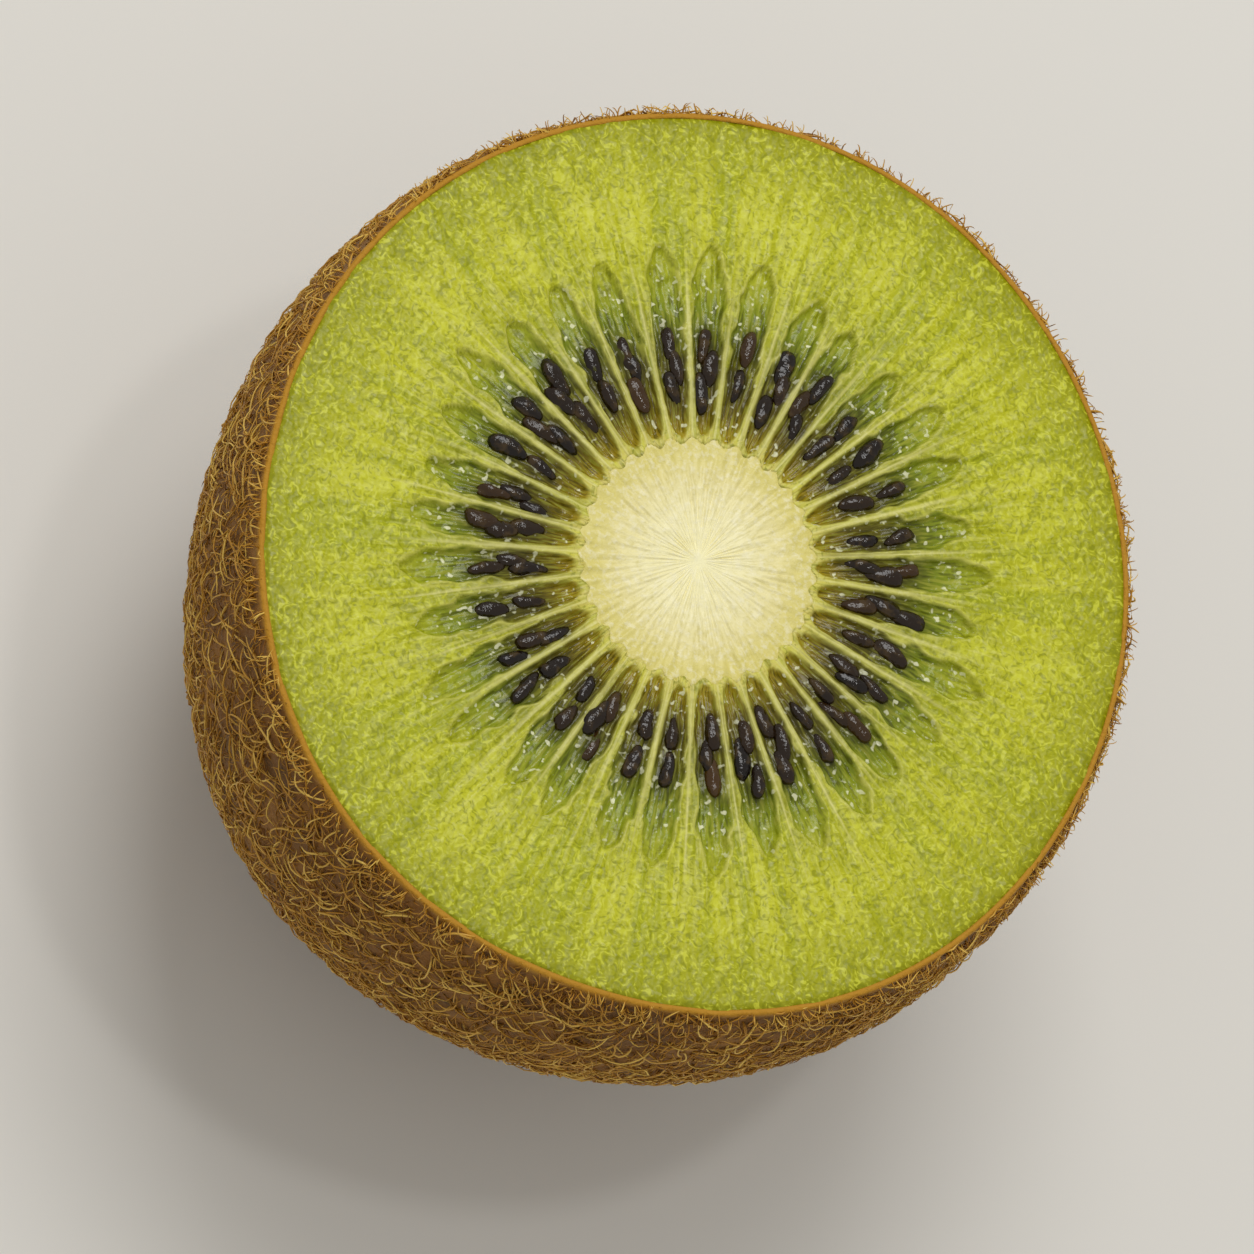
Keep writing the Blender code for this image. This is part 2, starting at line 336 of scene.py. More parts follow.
def with_poles(grid, start, end):
    """A grid of points or values as one list, with a value for each of its two end points."""
    width = grid.shape[-1] if grid.ndim == 3 else 1
    return np.concatenate([grid.reshape(-1, width), np.reshape([start, end], (2, width))])


def oval(rings, sides, power=1.0, blunt=0.0):
    """An oval of length 1 along X, with the radius 0.5 sin(pi t)^power (1 - blunt cos(pi t))."""
    t = np.linspace(0.0, 1.0, rings + 2)[1:-1, None]
    around = np.arange(sides) * math.tau / sides
    radius = 0.5 * np.sin(np.pi * t) ** power * (1.0 - blunt * np.cos(np.pi * t))
    form = np.stack(np.broadcast_arrays(-0.5 * np.cos(np.pi * t), radius * np.cos(around),
                                        radius * np.sin(around)), axis=-1)
    return with_poles(form, (-0.5, 0.0, 0.0), (0.5, 0.0, 0.0))


def new_material(name):
    """A material without nodes, and its node tree."""
    material = bpy.data.materials.new(name)
    material.use_nodes = True
    material.node_tree.nodes.clear()
    return material, material.node_tree


def add_node(tree, kind, inputs=None, stops=None, **settings):
    """Adds a node with its settings. An input's value is a number, a colour or another node's output."""
    node = tree.nodes.new(kind)
    for name, value in settings.items():
        setattr(node, name, value)
    for name, value in (inputs or {}).items():
        if isinstance(value, bpy.types.NodeSocket):
            tree.links.new(value, node.inputs[name])
        else:
            node.inputs[name].default_value = value
    for index, (position, colour) in enumerate(stops or ()):
        elements = node.color_ramp.elements
        element = elements[index] if index < 2 else elements.new(position)
        element.position = position
        element.color = linear(colour) if isinstance(colour, str) else colour
    return node


def flesh_material():
    """Ripe kiwi pulp cut with a sharp knife: wet and glossy, with pale fibres and cells that show singly.

    The gel in the seed chambers is darker and glossier than the pulp round it. Juice has an IOR of 1.34.
    """
    looks = bpy.context.scene.kiwi_looks
    material, tree = new_material("fresh_cut_kiwi_pulp")
    place = add_node(tree, "ShaderNodeTexCoord").outputs["Object"]
    polar = add_node(tree, "ShaderNodeAttribute", attribute_name="polar").outputs["Vector"]
    share, locule, wall, outline, seed = (
        add_node(tree, "ShaderNodeAttribute", attribute_name=name).outputs["Fac"]
        for name in ("share", "locule", "wall", "outline", "near_seed"))

    pulp = add_node(tree, "ShaderNodeValToRGB", {"Fac": share}, stops=[
        (0.262, "#dfd27c"), (0.99, "#969702"), (0.285, "#d0c35c"), (0.32, "#b0a43a"), (0.40, "#8c8622"),
        (0.50, "#8f9018"), (0.62, "#a5a816"), (0.78, "#bbbc18"), (0.85, "#b1b20e"), (0.92, "#a6a806"),
        (0.965, "#a0a103")]).outputs["Color"]
    gel = add_node(tree, "ShaderNodeValToRGB", {"Fac": share}, stops=[
        (0.27, "#b9a022"), (0.72, "#a9ad1c"), (0.30, "#9c871a"), (0.34, "#837214"), (0.39, "#6f6414"),
        (0.45, "#6b6616"), (0.51, "#737c1a"), (0.57, "#818f1c"), (0.64, "#949f1a")]).outputs["Color"]

    # Broad rays, about 1.5 mm wide, where the pulp is paler or clearer and greener
    rays_at = add_node(tree, "ShaderNodeVectorMath", {0: polar, 1: (15.0, 15.0, 1.6)},
                       operation="MULTIPLY").outputs["Vector"]
    rays = add_node(tree, "ShaderNodeTexNoise", {
        "Vector": rays_at, "Scale": 1.0, "Detail": 1.0}).outputs["Fac"]
    ray_fade = add_node(tree, "ShaderNodeMapRange", {
        "Value": share, "From Min": 0.82, "From Max": 0.96, "To Min": 1.0, "To Max": 0.2}).outputs["Result"]
    for ends, tone in (((0.50, 0.36), "#959f02"), ((0.52, 0.68), "#cfd036")):
        ray = add_node(tree, "ShaderNodeMapRange", {
            "Value": rays, "From Min": ends[0], "From Max": ends[1], "To Max": 0.5}).outputs["Result"]
        ray = add_node(tree, "ShaderNodeMath", {0: ray, 1: ray_fade}, operation="MULTIPLY").outputs[0]
        pulp = add_node(tree, "ShaderNodeMix", {0: ray, COLOUR_A: pulp, COLOUR_B: linear(tone)},
                        data_type="RGBA").outputs[COLOUR_OUT]

    # Fibres run outwards, about 0.25 mm wide and 3 mm long
    drawn_out = add_node(tree, "ShaderNodeVectorMath", {0: polar, 1: (62.0, 62.0, 9.0)},
                         operation="MULTIPLY").outputs["Vector"]
    fibre = add_node(tree, "ShaderNodeTexNoise", {
        "Vector": drawn_out, "Scale": 1.0, "Detail": 2.0, "Roughness": 0.6}).outputs["Fac"]
    fibre_light = add_node(tree, "ShaderNodeMapRange", {
        "Value": fibre, "From Min": 0.50, "From Max": 0.72, "To Max": 0.6}).outputs["Result"]
    fibre_fade = add_node(tree, "ShaderNodeMapRange", {
        "Value": share, "From Min": 0.66, "From Max": 0.94, "To Min": 1.0, "To Max": 0.12}).outputs["Result"]
    fibre_mix = add_node(tree, "ShaderNodeMath", {0: fibre_light, 1: fibre_fade},
                         operation="MULTIPLY").outputs[0]
    pulp = add_node(tree, "ShaderNodeMix", {0: fibre_mix, COLOUR_A: pulp, COLOUR_B: linear("#d8d56c")},
                    data_type="RGBA").outputs[COLOUR_OUT]

    # Strands in the gel, about 0.2 mm wide and 1 mm long, and painted glints on them: bright near-white specks
    strands_at = add_node(tree, "ShaderNodeVectorMath", {0: polar, 1: (80.0, 80.0, 26.0)},
                          operation="MULTIPLY").outputs["Vector"]
    strands = add_node(tree, "ShaderNodeTexNoise", {
        "Vector": strands_at, "Scale": 1.0, "Detail": 1.0, "Roughness": 0.5}).outputs["Fac"]
    for ends, most, tone in (((0.52, 0.64), 0.7, "#a5a63a"), ((0.46, 0.36), 0.6, "#3a3a08")):
        strand = add_node(tree, "ShaderNodeMapRange", {
            "Value": strands, "From Min": ends[0], "From Max": ends[1], "To Max": most}).outputs["Result"]
        gel = add_node(tree, "ShaderNodeMix", {0: strand, COLOUR_A: gel, COLOUR_B: linear(tone)},
                       data_type="RGBA").outputs[COLOUR_OUT]

    # The pulp's large cells show as short crooked flecks, about 0.3 mm wide
    cells = add_node(tree, "ShaderNodeTexNoise", {
        "Vector": place, "Scale": 1900.0, "Detail": 1.5, "Roughness": 0.6, "Distortion": 1.6}).outputs["Fac"]
    light = add_node(tree, "ShaderNodeMapRange", {
        "Value": cells, "From Min": 0.54, "From Max": 0.66, "To Max": 0.75}).outputs["Result"]
    dark = add_node(tree, "ShaderNodeMapRange", {
        "Value": cells, "From Min": 0.47, "From Max": 0.34, "To Max": 0.6}).outputs["Result"]
    fleck_fade = add_node(tree, "ShaderNodeMapRange", {
        "Value": share, "From Min": 0.45, "From Max": 0.72, "To Min": 0.4, "To Max": 1.0}).outputs["Result"]
    light_mix = add_node(tree, "ShaderNodeMath", {0: light, 1: fleck_fade}, operation="MULTIPLY").outputs[0]
    pulp = add_node(tree, "ShaderNodeMix", {0: light_mix, COLOUR_A: pulp, COLOUR_B: linear("#d3d53e")},
                    data_type="RGBA").outputs[COLOUR_OUT]
    pulp = add_node(tree, "ShaderNodeMix", {0: dark, COLOUR_A: pulp, COLOUR_B: linear("#7f8402")},
                    data_type="RGBA").outputs[COLOUR_OUT]

    # Chambers, the walls between them and the shadow of each seed in its gel
    colour = add_node(tree, "ShaderNodeMix", {0: locule, COLOUR_A: pulp, COLOUR_B: gel},
                      data_type="RGBA").outputs[COLOUR_OUT]
    # Painted glints: near-white specks, mostly in the gel, where the same noise raises the bump
    specks = add_node(tree, "ShaderNodeTexNoise", {
        "Vector": place, "Scale": 2300.0, "Detail": 1.0}).outputs["Fac"]
    speck_mix = add_node(tree, "ShaderNodeMapRange", {
        "Value": specks, "From Min": 0.64, "From Max": 0.70, "To Max": 0.9}).outputs["Result"]
    in_gel = add_node(tree, "ShaderNodeMapRange", {"Value": locule, "To Min": 0.12}).outputs["Result"]
    speck_mix = add_node(tree, "ShaderNodeMath", {0: speck_mix, 1: in_gel}, operation="MULTIPLY").outputs[0]
    colour = add_node(tree, "ShaderNodeMix", {0: speck_mix, COLOUR_A: colour, COLOUR_B: linear("#eeeec4")},
                      data_type="RGBA").outputs[COLOUR_OUT]
    ragged = add_node(tree, "ShaderNodeTexNoise", {
        "Vector": place, "Scale": 700.0, "Detail": 1.0}).outputs["Fac"]
    ragged = add_node(tree, "ShaderNodeMapRange", {
        "Value": ragged, "From Min": 0.30, "From Max": 0.55}).outputs["Result"]
    outline = add_node(tree, "ShaderNodeMath", {0: outline, 1: ragged}, operation="MULTIPLY").outputs[0]
    for mask, most, tone in ((seed, 0.85, "#26220a"), (outline, 0.65, "#d3cf68"), (wall, 0.7, "#e2dc8c")):
        mask = add_node(tree, "ShaderNodeMath", {0: mask, 1: most}, operation="MULTIPLY").outputs[0]
        colour = add_node(tree, "ShaderNodeMix", {0: mask, COLOUR_A: colour, COLOUR_B: linear(tone)},
                          data_type="RGBA").outputs[COLOUR_OUT]

    rough = add_node(tree, "ShaderNodeMapRange", {
        "Value": locule, "To Min": looks.flesh_roughness, "To Max": looks.gel_roughness}).outputs["Result"]
    bump = add_node(tree, "ShaderNodeBump", {
        "Strength": 1.0, "Distance": 0.09 * MM, "Height": specks}).outputs["Normal"]
    shader = add_node(tree, "ShaderNodeBsdfPrincipled", {
        "Base Color": colour, "Roughness": rough, "Normal": bump, "IOR": 1.34})
    add_node(tree, "ShaderNodeOutputMaterial", {"Surface": shader.outputs["BSDF"]})
    return material


def core_material():
    """The core's dense cream flesh: firmer and less wet than the pulp, with fibres that run outwards."""
    looks = bpy.context.scene.kiwi_looks
    material, tree = new_material("cream_kiwi_core")
    place = add_node(tree, "ShaderNodeTexCoord").outputs["Object"]
    polar = add_node(tree, "ShaderNodeAttribute", attribute_name="polar").outputs["Vector"]
    share = add_node(tree, "ShaderNodeAttribute", attribute_name="share").outputs["Fac"]
    base = add_node(tree, "ShaderNodeValToRGB", {"Fac": share}, stops=[
        (0.0, tuple(looks.core_colour)), (0.265, "#dccf72"), (0.12, "#f7eeb8"), (0.19, "#ebdf9a"),
        (0.235, "#e0d37a")]).outputs["Color"]
    drawn_out = add_node(tree, "ShaderNodeVectorMath", {0: polar, 1: (13.0, 13.0, 34.0)},
                         operation="MULTIPLY").outputs["Vector"]
    fibre = add_node(tree, "ShaderNodeTexNoise", {
        "Vector": drawn_out, "Scale": 1.6, "Detail": 3.0, "Roughness": 0.6}).outputs["Fac"]
    fibre_dark = add_node(tree, "ShaderNodeMapRange", {
        "Value": fibre, "From Min": 0.52, "From Max": 0.30, "To Max": 0.5}).outputs["Result"]
    off_middle = add_node(tree, "ShaderNodeMapRange", {
        "Value": share, "From Min": 0.03, "From Max": 0.14}).outputs["Result"]
    fibre_dark = add_node(tree, "ShaderNodeMath", {0: fibre_dark, 1: off_middle},
                          operation="MULTIPLY").outputs[0]
    colour = add_node(tree, "ShaderNodeMix", {0: fibre_dark, COLOUR_A: base, COLOUR_B: linear("#cdc06a")},
                      data_type="RGBA").outputs[COLOUR_OUT]
    cells = add_node(tree, "ShaderNodeTexNoise", {
        "Vector": place, "Scale": 3200.0, "Detail": 2.0, "Roughness": 0.6}).outputs["Fac"]
    pale = add_node(tree, "ShaderNodeMapRange", {
        "Value": cells, "From Min": 0.48, "From Max": 0.68, "To Max": 0.45}).outputs["Result"]
    colour = add_node(tree, "ShaderNodeMix", {0: pale, COLOUR_A: colour, COLOUR_B: linear("#f8f2d2")},
                      data_type="RGBA").outputs[COLOUR_OUT]
    bump = add_node(tree, "ShaderNodeBump", {
        "Strength": 0.7, "Distance": 0.08 * MM, "Height": cells}).outputs["Normal"]
    shader = add_node(tree, "ShaderNodeBsdfPrincipled", {
        "Base Color": colour, "Roughness": 0.45, "Normal": bump, "IOR": 1.4, "Coat Weight": 0.12,
        "Coat Roughness": 0.2})
    add_node(tree, "ShaderNodeOutputMaterial", {"Surface": shader.outputs["BSDF"]})
    return material


def seed_material():
    """A ripe kiwi seed: a hard dark coat, brown where it is thin, under a film of juice that glints."""
    material, tree = new_material("wet_kiwi_seed_coat")
    place = add_node(tree, "ShaderNodeTexCoord").outputs["Object"]
    tint = add_node(tree, "ShaderNodeAttribute", attribute_name="tint").outputs["Fac"]
    base = add_node(tree, "ShaderNodeValToRGB", {"Fac": tint}, stops=[
        (0.0, tuple(bpy.context.scene.kiwi_looks.seed_colour)), (1.0, "#49300f"),
        (0.6, "#2a1a07")]).outputs["Color"]
    patches = add_node(tree, "ShaderNodeTexNoise", {
        "Vector": place, "Scale": 1500.0, "Detail": 3.0}).outputs["Fac"]
    patchy = add_node(tree, "ShaderNodeMapRange", {
        "Value": patches, "From Min": 0.52, "From Max": 0.66, "To Max": 0.6}).outputs["Result"]
    colour = add_node(tree, "ShaderNodeMix", {0: patchy, COLOUR_A: base, COLOUR_B: linear("#4f3c1c")},
                      data_type="RGBA").outputs[COLOUR_OUT]
    bump = add_node(tree, "ShaderNodeBump", {
        "Strength": 1.0, "Distance": 0.2 * MM, "Height": patches}).outputs["Normal"]
    shader = add_node(tree, "ShaderNodeBsdfPrincipled", {
        "Base Color": colour, "Roughness": 0.13, "Normal": bump, "IOR": 1.44})
    add_node(tree, "ShaderNodeOutputMaterial", {"Surface": shader.outputs["BSDF"]})
    return material


def skin_material():
    """Kiwi skin: thin, dry and leathery brown with darker specks. Its cut edge shows as a golden line."""
    material, tree = new_material("brown_kiwi_skin")
    place = add_node(tree, "ShaderNodeTexCoord").outputs["Object"]
    rim = add_node(tree, "ShaderNodeAttribute", attribute_name="rim").outputs["Fac"]
    mottle = add_node(tree, "ShaderNodeTexNoise", {
        "Vector": place, "Scale": 260.0, "Detail": 5.0, "Roughness": 0.6}).outputs["Fac"]
    base = add_node(tree, "ShaderNodeValToRGB", {"Fac": mottle}, stops=[
        (0.3, "#5c3a0c"), (0.72, "#946420"),
        (0.5, tuple(bpy.context.scene.kiwi_looks.skin_colour))]).outputs["Color"]
    specks = add_node(tree, "ShaderNodeTexNoise", {
        "Vector": place, "Scale": 2400.0, "Detail": 2.0, "Roughness": 0.6}).outputs["Fac"]
    speck_mix = add_node(tree, "ShaderNodeMapRange", {
        "Value": specks, "From Min": 0.56, "From Max": 0.66, "To Max": 0.6}).outputs["Result"]
    colour = base
    for mask, tone in ((speck_mix, "#3f2a0f"), (rim, "#b98416")):
        colour = add_node(tree, "ShaderNodeMix", {0: mask, COLOUR_A: colour, COLOUR_B: linear(tone)},
                          data_type="RGBA").outputs[COLOUR_OUT]
    relief = add_node(tree, "ShaderNodeMath", {0: mottle, 1: specks}, operation="ADD").outputs[0]
    bump = add_node(tree, "ShaderNodeBump", {
        "Strength": 0.8, "Distance": 0.2 * MM, "Height": relief}).outputs["Normal"]
    shader = add_node(tree, "ShaderNodeBsdfPrincipled", {
        "Base Color": colour, "Roughness": 0.72, "Normal": bump, "IOR": 1.45, "Sheen Weight": 0.2,
        "Sheen Roughness": 0.5, "Sheen Tint": linear("#d9b979")})
    add_node(tree, "ShaderNodeOutputMaterial", {"Surface": shader.outputs["BSDF"]})
    return material


def hair_material():
    """Kiwi hair: fine dry plant fibre, golden where light goes through it and darker at thick hairs."""
    material, tree = new_material("golden_kiwi_hair")
    tint = add_node(tree, "ShaderNodeAttribute", attribute_name="tint").outputs["Fac"]
    base = add_node(tree, "ShaderNodeValToRGB", {"Fac": tint}, stops=[
        (0.0, "#8a5708"), (1.0, "#f0c85c"), (0.5, tuple(bpy.context.scene.kiwi_looks.hair_colour))])
    shader = add_node(tree, "ShaderNodeBsdfPrincipled", {
        "Base Color": base.outputs["Color"], "Roughness": 0.5, "IOR": 1.5})
    add_node(tree, "ShaderNodeOutputMaterial", {"Surface": shader.outputs["BSDF"]})
    return material


def calyx_material():
    """The dried calyx and stalk scar: brittle and wrinkled, with painted shade that makes it nearly black in
    the folds.
    """
    material, tree = new_material("dried_kiwi_calyx")
    place = add_node(tree, "ShaderNodeTexCoord").outputs["Object"]
    folds = add_node(tree, "ShaderNodeTexNoise", {
        "Vector": place, "Scale": 900.0, "Detail": 5.0, "Roughness": 0.65}).outputs["Fac"]
    # Painted shade: the colour is darkest, nearly black, where the bump's folds lie lowest
    base = add_node(tree, "ShaderNodeValToRGB", {"Fac": folds}, stops=[
        (0.32, "#1f1409"), (0.7, "#74552f"), (0.5, "#452e16")])
    bump = add_node(tree, "ShaderNodeBump", {
        "Strength": 1.0, "Distance": 0.2 * MM, "Height": folds}).outputs["Normal"]
    shader = add_node(tree, "ShaderNodeBsdfPrincipled", {
        "Base Color": base.outputs["Color"], "Roughness": 0.85, "Normal": bump, "IOR": 1.45})
    add_node(tree, "ShaderNodeOutputMaterial", {"Surface": shader.outputs["BSDF"]})
    return material


# The pieces


def polar_of(angle, share):
    """(cos a, sin a, share): a seamless place for patterns that run outwards."""
    return np.stack(np.broadcast_arrays(np.cos(angle), np.sin(angle), share), axis=-1)


def add_flesh():
    """Rings from the bottom up just inside the skin, in across the cut face and down the core's hollow.

    On the face z = depth - trough + gel drawn up at each seed + fibres + cells.
    """
    locules = locule_layout()
    sides = 990
    angle = np.arange(sides) * math.tau / sides
    inset = SKIN_THICK * 0.85

    side_depth = np.sin(np.linspace(math.radians(76), 0.0, 9))[:, None]
    side = fruit_point(body_share(side_depth), angle, DEPTH * (1.0 - side_depth), inset)
    side_share = np.broadcast_to(body_share(side_depth), (len(side_depth), sides))

    hollow = core_share(angle, GAP)
    outer = np.linspace(1.0, 0.72, 16)[1:, None] + 0.0 * angle
    middle = np.linspace(0.714, 0.30, 60)[:, None] + 0.0 * angle
    inner = hollow + (0.296 - hollow) * np.linspace(1.0, 0.0, 5)[:, None]
    share = np.concatenate([outer, middle, inner])
    inside, sunk, outline, wall = locule_form(share, angle, locules)
    edge_inset = inset * smooth(0.75, 1.0, share)
    face = fruit_point(share, angle, DEPTH, edge_inset)
    polar = polar_of(angle, share)
    gel_up = near_seed(face, locules, 1.25 * MM, 0.72 * MM)
    fibres = wave_noise(polar * (50.0, 50.0, 7.0), 1.0, 3)
    cells = wave_noise(face[..., :2], 0.9 * MM, 4)
    face[..., 2] -= bpy.context.scene.kiwi_sizes.chamber_depth * sunk * (1.0 - GEL_DRAWN * gel_up)
    face[..., 2] += 0.04 * MM * outline + 0.025 * MM * fibres * (1.0 - smooth(0.7, 0.9, share))
    face[..., 2] += 0.018 * MM * cells

    drop = np.linspace(0.0, math.pi / 2, 8)[1:-1, None]
    wall_points = fruit_point(hollow * np.cos(drop), angle, DEPTH - (CORE_DEPTH + GAP) * np.sin(drop))
    wall_share = hollow * np.cos(drop)

    def on_all(values):
        grid = np.concatenate([np.zeros(side_share.shape), values, np.zeros(wall_share.shape)])
        return with_poles(grid, 0.0, 0.0)

    points = with_poles(np.concatenate([side, face, wall_points]),
                        (0.0, 0.0, FLESH_BOTTOM), (0.0, 0.0, DEPTH - CORE_DEPTH - GAP))
    all_share = np.concatenate([side_share, share, wall_share])
    piece = new_piece("kiwi_flesh", points, turned_faces(len(all_share), sides), flesh_material(), {
        "share": with_poles(all_share, 0.5, 0.0),
        "polar": with_poles(polar_of(angle, all_share), (0.0, 0.0, 0.5), (0.0, 0.0, 0.0)),
        "locule": on_all(inside), "wall": on_all(wall), "outline": on_all(outline),
        "near_seed": on_all(near_seed(face, locules, 1.45 * MM, 0.7 * MM)),
    })
    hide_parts("flesh")


def add_core():
    """A half spindle: radius core_share cos t at depth D sin t, with a finely ribbed top."""
    sides = 396
    angle = np.arange(sides) * math.tau / sides
    edge = core_share(angle, GAP - 0.03 * MM)
    drop = np.linspace(math.pi / 2, 0.0, 12)[1:-1, None]
    side = fruit_point(edge * np.cos(drop), angle, DEPTH - CORE_DEPTH * np.sin(drop))
    lip = core_share(angle, GAP + 0.12 * MM)
    top_share = lip * np.linspace(1.0, 0.03, 40)[:, None]
    top = fruit_point(top_share, angle, DEPTH)
    polar = polar_of(angle, top_share)
    top[..., 2] += 0.03 * MM * wave_noise(polar * (16.0, 16.0, 9.0), 1.0, 5) * smooth(0.0, 0.06, top_share)
    top[..., 2] += 0.015 * MM * wave_noise(top[..., :2], 0.8 * MM, 6)
    top[0, :, 2] = DEPTH - 0.06 * MM  # the lip dips just under the flesh's edge, so no gap shows
    all_share = np.concatenate([edge * np.cos(drop), top_share])
    points = with_poles(np.concatenate([side, top]), (0.0, 0.0, DEPTH - CORE_DEPTH), (0.0, 0.0, DEPTH))
    piece = new_piece("kiwi_core", points, turned_faces(len(all_share), sides), core_material(), {
        "share": with_poles(all_share, 0.0, 0.0),
        "polar": with_poles(polar_of(angle, all_share), (0.0, 0.0, 0.0), (0.0, 0.0, 0.0)),
    })
    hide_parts("core")


def add_seeds():
    """A seed is turned about its length: radius sin(pi t)^0.8 (1 - 0.22 cos(pi t)), blunt at its outer end."""
    middles, turns, rolls, scales = seed_table(locule_layout())
    sides, rings = 16, 9
    bulge = 1.02  # the blunt end makes the form this much wider than 1
    form = oval(rings, sides, 0.8, 0.22) * SEED_SIZE / (1.0, bulge, bulge)
    dents = 1.0 + 0.11 * np.stack([wave_noise(form + middle, 1.5 * MM, 8) for middle in middles])
    slimness = np.random.default_rng(10).uniform(*SEED_SLIMNESS, (len(middles), 3))
    slimness[:, 0] = 1.0  # a seed keeps its length
    local = form[None] * scales[:, None, None] * np.clip(dents, 0.72, 1.12)[..., None] * slimness[:, None]
    roll_cos, roll_sin = np.cos(rolls)[:, None], np.sin(rolls)[:, None]
    y = local[..., 1] * roll_cos - local[..., 2] * roll_sin
    z = local[..., 1] * roll_sin + local[..., 2] * roll_cos
    turn_cos, turn_sin = np.cos(turns)[:, None], np.sin(turns)[:, None]
    placed = np.stack([local[..., 0] * turn_cos - y * turn_sin, local[..., 0] * turn_sin + y * turn_cos, z],
                      axis=-1) + middles[:, None]
    placed[..., 2] -= SEED_DROP
    offsets = (np.arange(len(middles)) * len(form))[:, None, None]
    faces = [(face[None] + offsets).reshape(-1, face.shape[1]) for face in turned_faces(rings, sides)]
    tint = np.random.default_rng(9).beta(1.6, 2.6, len(middles))
    new_piece("kiwi_seeds", placed, faces, seed_material(), {
        "tint": np.repeat(tint, len(form))[:, None]})


def add_skin():
    """A shell over skin_at: rings from the dimple up to the rim outside, and back down 0.3 mm inside."""
    profile = skin_profile()
    total = profile[0][-1]
    sides = 420
    angle = np.arange(sides) * math.tau / sides
    run = np.concatenate([np.linspace(total, 0.6 * MM, 86)[1:], [0.35 * MM, 0.15 * MM, 0.0]])[:, None]
    outside, normal = skin_at(profile, angle, run)
    relief = 0.045 * MM * wave_noise(outside, 2.2 * MM, 12) + 0.03 * MM * wave_noise(outside, 1.1 * MM, 13)
    outside += normal * (relief * smooth(0.0, 1.0 * MM, run))[..., None]
    outside[..., 2] = np.maximum(0.0, outside[..., 2])

    uneven = wave_noise(polar_of(angle, 1.0), 0.12, 14)
    ridge = fruit_point(1.0, angle, DEPTH + 0.05 * MM + 0.03 * MM * uneven, SKIN_THICK * 0.45)[None]
    ledge = fruit_point(1.0, angle, DEPTH + 0.02 * MM + 0.02 * MM * uneven, SKIN_THICK)[None]
    back_run = total * np.array([0.01, 0.05, 0.15, 0.3, 0.45, 0.6, 0.75, 0.88])[:, None]
    back, back_normal = skin_at(profile, angle, back_run)
    inside = back - back_normal * SKIN_THICK

    rings = len(run) + 2 + len(back_run)
    rim = np.concatenate([1.0 - smooth(0.0, 0.5 * MM, run), [[1.0], [1.0]], 0.0 * back_run])
    points = with_poles(np.concatenate([outside, ridge, ledge, inside]),
                        (0.0, 0.0, DIMPLE_DEPTH), (0.0, 0.0, DIMPLE_DEPTH + 2 * SKIN_THICK))
    new_piece("kiwi_skin", points, turned_faces(rings, sides), skin_material(), {
        "rim": with_poles(rim + 0.0 * angle, 0.0, 0.0)})


def hair_paths(profile, draw, count, samples, lengths, lifts, bend, down_to):
    """The middle line of each hair, and a direction across it that its tube is turned by.

    Hairs are spread evenly over the skin from the rim down to a run. Each keeps a heading that turns by
    its bend along its length, and rises from the skin by lift sin(pi / 2 t^0.8), with a fall after its
    highest point if it is curly.
    """
    run_so_far, share, height = profile
    covered = (height > 0.25 * MM) & (share > 0.09) & (run_so_far < down_to)
    area = np.cumsum(share * covered * np.gradient(run_so_far))
    root_run = np.interp(draw.random(count), area / area[-1], run_so_far)[:, None]
    root_angle = draw.uniform(0.0, math.tau, count)[:, None]
    t = np.linspace(0.0, 1.0, samples)
    length = draw.uniform(*lengths, count)[:, None]
    lift = draw.uniform(*lifts, count)[:, None]
    heading = math.pi / 2 + draw.normal(0.0, 1.3, count)[:, None] + draw.normal(0.0, bend, count)[:, None] * t
    step = length / (samples - 1)
    along = np.cumsum(np.cos(heading) * step, axis=1) - np.cos(heading[:, :1]) * step
    down = np.cumsum(np.sin(heading) * step, axis=1) - np.sin(heading[:, :1]) * step
    radius = np.interp(root_run, run_so_far, share) * mean_radius()
    run = root_run + down
    place, normal = skin_at(profile, root_angle + along / radius, run)
    rise = np.sin(math.pi / 2 * t**0.8) * (1.0 - 0.7 * smooth(0.5, 1.0, t) * (bend > 1.0))
    path = place + normal * (lift * rise - 0.08 * MM)[..., None]
    path[..., 2] += np.clip(-run, 0.0, 0.5 * MM)
    path[..., 2] = np.maximum(path[..., 2], HAIR_FLOOR)
    return path, normal + 0.3 * np.cross(normal, (0.0, 0.0, 1.0))


